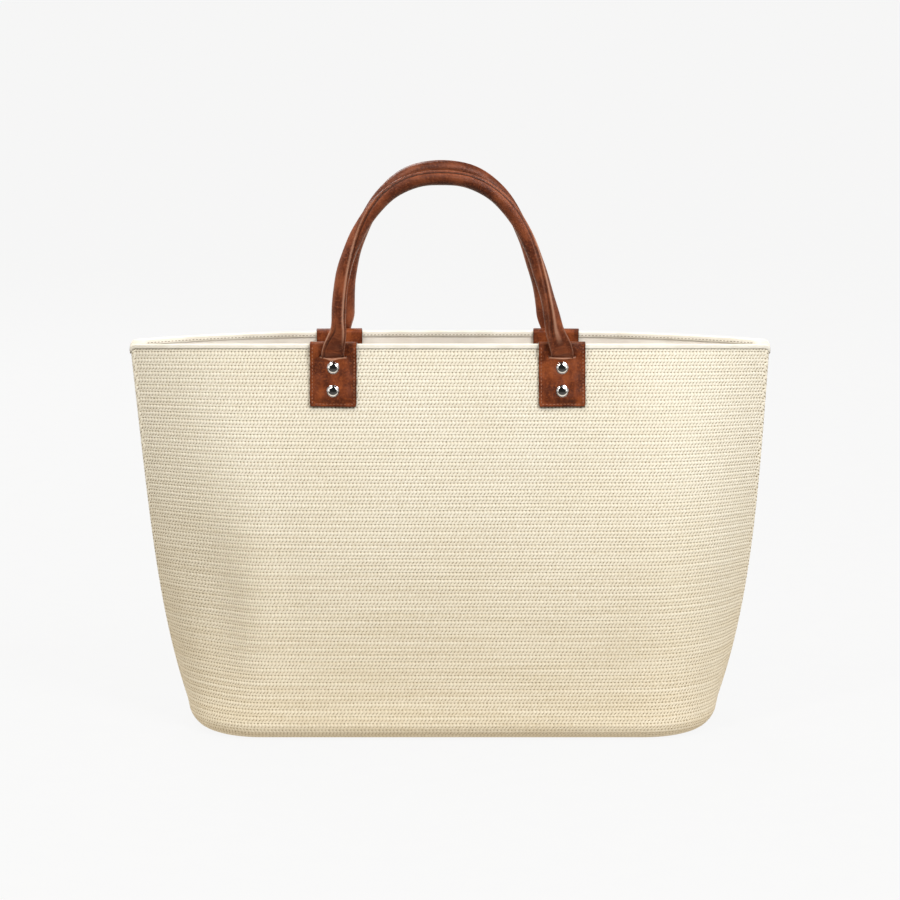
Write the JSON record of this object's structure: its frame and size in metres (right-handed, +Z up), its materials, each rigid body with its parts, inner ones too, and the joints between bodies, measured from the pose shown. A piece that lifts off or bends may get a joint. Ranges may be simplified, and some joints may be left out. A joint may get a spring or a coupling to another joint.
{
  "type": "beach bag",
  "caption": "Straw tote with a flat rounded base, walls that close to a pointed mouth, cotton lining and rolled leather handles riveted into folded leather tabs.",
  "frame": {"origin": "middle of the base, on the surface that the bag stands on", "axes": "+Z up, +X along the bag's width to the right as seen from the front, front of the bag faces -Y"},
  "size_m": [0.5278, 0.1536, 0.4627],
  "materials": {
    "straw": "woven paper straw in fine sewn courses, matt",
    "binding": "smooth folded straw-coloured tape, matt",
    "lining": "plain-weave cotton, matt",
    "board": "grey stiffening board",
    "tab_leather": "mottled tan-brown leather with tone-on-tone stitching, satin",
    "handle_leather": "rolled tan-brown leather, rubbed paler along its folds, satin",
    "rivet_chrome": "polished",
    "cord": "twisted cotton cord"
  },
  "bodies": {
    "bag": {"front_panel": "straw", "back_panel": "straw", "base_panel": "straw", "base_board": "board", "lining_front": "lining", "lining_back": "lining", "lining_base": "lining", "rim_binding": "binding", "front_left_tab": "tab_leather", "front_right_tab": "tab_leather", "back_left_tab": "tab_leather", "back_right_tab": "tab_leather", "front_left_rivets": "rivet_chrome", "front_right_rivets": "rivet_chrome", "back_left_rivets": "rivet_chrome", "back_right_rivets": "rivet_chrome", "front_left_rivet_caps": "rivet_chrome", "front_right_rivet_caps": "rivet_chrome", "back_left_rivet_caps": "rivet_chrome", "back_right_rivet_caps": "rivet_chrome", "front_handle_left_tail": "handle_leather", "front_handle_right_tail": "handle_leather", "back_handle_left_tail": "handle_leather", "back_handle_right_tail": "handle_leather"},
    "front_handle": {"front_handle_leather": "handle_leather", "front_handle_core": "cord"},
    "back_handle": {"back_handle_leather": "handle_leather", "back_handle_core": "cord"}
  },
  "joints": [
    {"name": "front_handle_swing", "type": "hinge", "parent": "bag", "child": "front_handle", "pos_m": [0, -0.04448, 0.31196], "axis": [1, 0, 0], "range_deg": [-16, 150]},
    {"name": "back_handle_swing", "type": "hinge", "parent": "bag", "child": "back_handle", "pos_m": [0, 0.04458, 0.31197], "axis": [-1, 0, 0], "range_deg": [-16, 150]}
  ]
}
